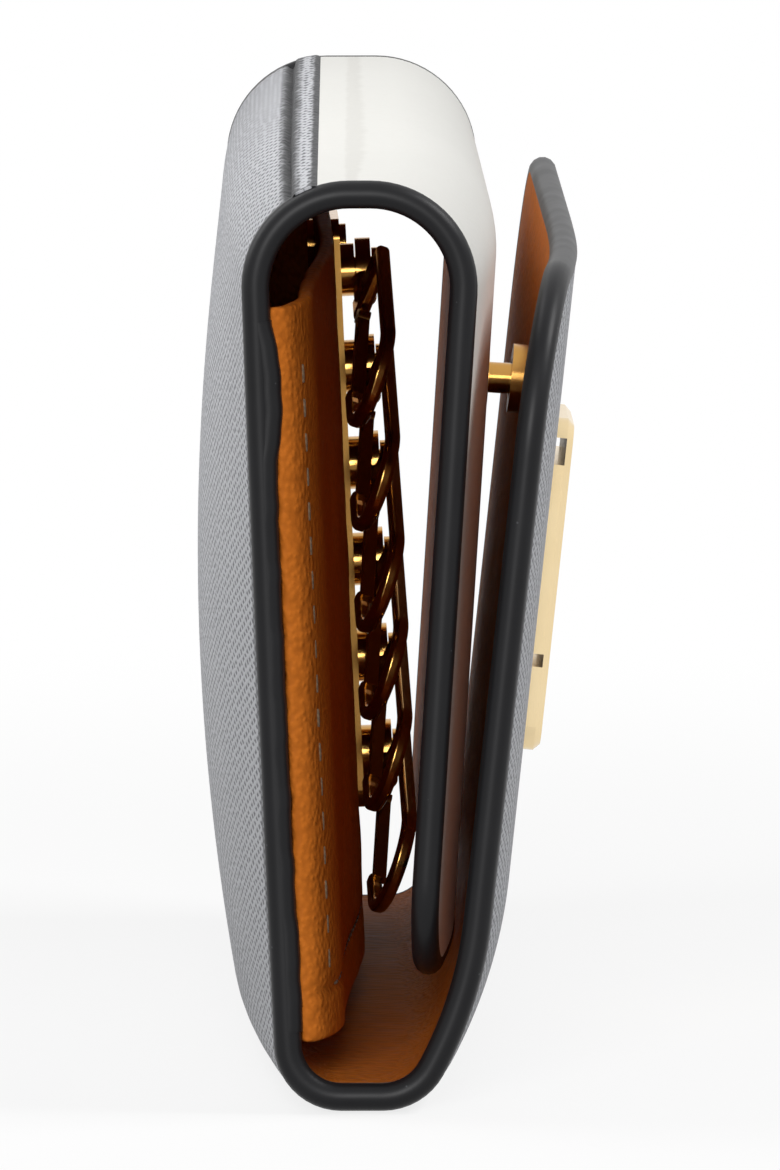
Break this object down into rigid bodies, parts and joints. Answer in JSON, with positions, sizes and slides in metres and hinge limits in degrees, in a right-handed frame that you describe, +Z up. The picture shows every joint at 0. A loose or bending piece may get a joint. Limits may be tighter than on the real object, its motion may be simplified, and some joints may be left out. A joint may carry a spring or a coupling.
{
  "type": "key case",
  "caption": "Folded leather key case with a grey outer flap, a white inner flap, a clasp plate, a slip pocket and a row of spring-gated key hooks.",
  "frame": {"origin": "middle of the flat resting face under the lower fold", "axes": "+X towards the clasp, +Y along the folds, +Z up"},
  "size_m": [0.0291, 0.11, 0.07],
  "materials": {
    "grey_leather": "cross-grained grey leather",
    "white_leather": "smooth off-white leather",
    "tan_leather": "smooth tan lining leather",
    "edge_paint": "satin charcoal edge paint",
    "interlining": "pressed fibre board",
    "gold_metal": "polished champagne gold plate",
    "hook_metal": "polished gold plate"
  },
  "bodies": {
    "case_back": {"back_leather": "grey_leather", "top_leather": "white_leather", "back_interlining": "interlining", "back_lining": "tan_leather", "back_edge_coat": "edge_paint", "pocket_panel": "tan_leather", "pocket_edge_coat": "edge_paint", "hook_bar": "hook_metal", "bar_rivets": "hook_metal", "bar_washers": "hook_metal", "hook_posts": "hook_metal"},
    "outer_flap": {"flap_leather": "grey_leather", "flap_interlining": "interlining", "flap_lining": "tan_leather", "flap_edge_coat": "edge_paint", "clasp_plate": "gold_metal", "clasp_rivets": "gold_metal", "clasp_backing": "gold_metal", "snap_socket": "gold_metal", "snap_socket_eyelet": "gold_metal"},
    "inner_flap": {"inner_flap_leather": "white_leather", "inner_flap_interlining": "interlining", "inner_flap_lining": "tan_leather", "inner_flap_edge_coat": "edge_paint", "snap_stud": "gold_metal", "snap_stud_cap": "gold_metal"},
    "key_hook_1": {"hook_1": "hook_metal"},
    "key_gate_1": {"hook_gate_1": "hook_metal"},
    "key_hook_2": {"hook_2": "hook_metal"},
    "key_gate_2": {"hook_gate_2": "hook_metal"},
    "key_hook_3": {"hook_3": "hook_metal"},
    "key_gate_3": {"hook_gate_3": "hook_metal"},
    "key_hook_4": {"hook_4": "hook_metal"},
    "key_gate_4": {"hook_gate_4": "hook_metal"},
    "key_hook_5": {"hook_5": "hook_metal"},
    "key_gate_5": {"hook_gate_5": "hook_metal"},
    "key_hook_6": {"hook_6": "hook_metal"},
    "key_gate_6": {"hook_gate_6": "hook_metal"}
  },
  "joints": [
    {"name": "outer_flap_open", "type": "hinge", "parent": "case_back", "child": "outer_flap", "pos_m": [0.0004, 0, 0], "axis": [0, 1, 0], "range_deg": [0, 180]},
    {"name": "inner_flap_open", "type": "hinge", "parent": "case_back", "child": "inner_flap", "pos_m": [0.00032, 0, 0.07], "axis": [0, -1, 0], "range_deg": [0, 45]},
    {"name": "hook_1_swing", "type": "hinge", "parent": "case_back", "child": "key_hook_1", "pos_m": [0.00213, 0.032, 0.05498], "axis": [-0.9991, 0, -0.0435], "range_deg": [-3, 30]},
    {"name": "hook_1_gate", "type": "hinge", "parent": "key_hook_1", "child": "key_gate_1", "pos_m": [0.00196, 0.02476, 0.05184], "axis": [-0.9418, -0.1158, 0.3156], "range_deg": [0, 16], "stiffness_Nm_per_rad": 0.003},
    {"name": "hook_2_swing", "type": "hinge", "parent": "case_back", "child": "key_hook_2", "pos_m": [0.00246, 0.032, 0.04729], "axis": [-0.9991, 0, -0.0435], "range_deg": [-3, 30]},
    {"name": "hook_2_gate", "type": "hinge", "parent": "key_hook_2", "child": "key_gate_2", "pos_m": [0.00231, 0.02485, 0.04396], "axis": [-0.9417, -0.125, 0.3124], "range_deg": [0, 16], "stiffness_Nm_per_rad": 0.003},
    {"name": "hook_3_swing", "type": "hinge", "parent": "case_back", "child": "key_hook_3", "pos_m": [0.0028, 0.032, 0.03959], "axis": [-0.9991, 0, -0.0435], "range_deg": [-3, 30]},
    {"name": "hook_3_gate", "type": "hinge", "parent": "key_hook_3", "child": "key_gate_3", "pos_m": [0.00265, 0.02491, 0.03614], "axis": [-0.9416, -0.1312, 0.3102], "range_deg": [0, 16], "stiffness_Nm_per_rad": 0.003},
    {"name": "hook_4_swing", "type": "hinge", "parent": "case_back", "child": "key_hook_4", "pos_m": [0.00313, 0.032, 0.0319], "axis": [-0.9991, 0, -0.0435], "range_deg": [-3, 30]},
    {"name": "hook_4_gate", "type": "hinge", "parent": "key_hook_4", "child": "key_gate_4", "pos_m": [0.00297, 0.02476, 0.02876], "axis": [-0.9418, -0.1158, 0.3156], "range_deg": [0, 16], "stiffness_Nm_per_rad": 0.003},
    {"name": "hook_5_swing", "type": "hinge", "parent": "case_back", "child": "key_hook_5", "pos_m": [0.00347, 0.032, 0.02421], "axis": [-0.9991, 0, -0.0435], "range_deg": [-3, 30]},
    {"name": "hook_5_gate", "type": "hinge", "parent": "key_hook_5", "child": "key_gate_5", "pos_m": [0.00329, 0.02468, 0.02126], "axis": [-0.9419, -0.1064, 0.3185], "range_deg": [0, 16], "stiffness_Nm_per_rad": 0.003},
    {"name": "hook_6_swing", "type": "hinge", "parent": "case_back", "child": "key_hook_6", "pos_m": [0.0038, 0.032, 0.01652], "axis": [-0.9991, 0, -0.0435], "range_deg": [-3, 30]},
    {"name": "hook_6_gate", "type": "hinge", "parent": "key_hook_6", "child": "key_gate_6", "pos_m": [0.00364, 0.02474, 0.01344], "axis": [-0.9419, -0.1126, 0.3166], "range_deg": [0, 16], "stiffness_Nm_per_rad": 0.003}
  ],
  "couplings": [
    {"joint": "inner_flap_open", "follows": "outer_flap_open", "ratio": 0.25},
    {"joint": "hook_2_swing", "follows": "hook_1_swing", "ratio": 1},
    {"joint": "hook_3_swing", "follows": "hook_1_swing", "ratio": 1},
    {"joint": "hook_4_swing", "follows": "hook_1_swing", "ratio": 1},
    {"joint": "hook_5_swing", "follows": "hook_1_swing", "ratio": 1},
    {"joint": "hook_6_swing", "follows": "hook_1_swing", "ratio": 1}
  ]
}
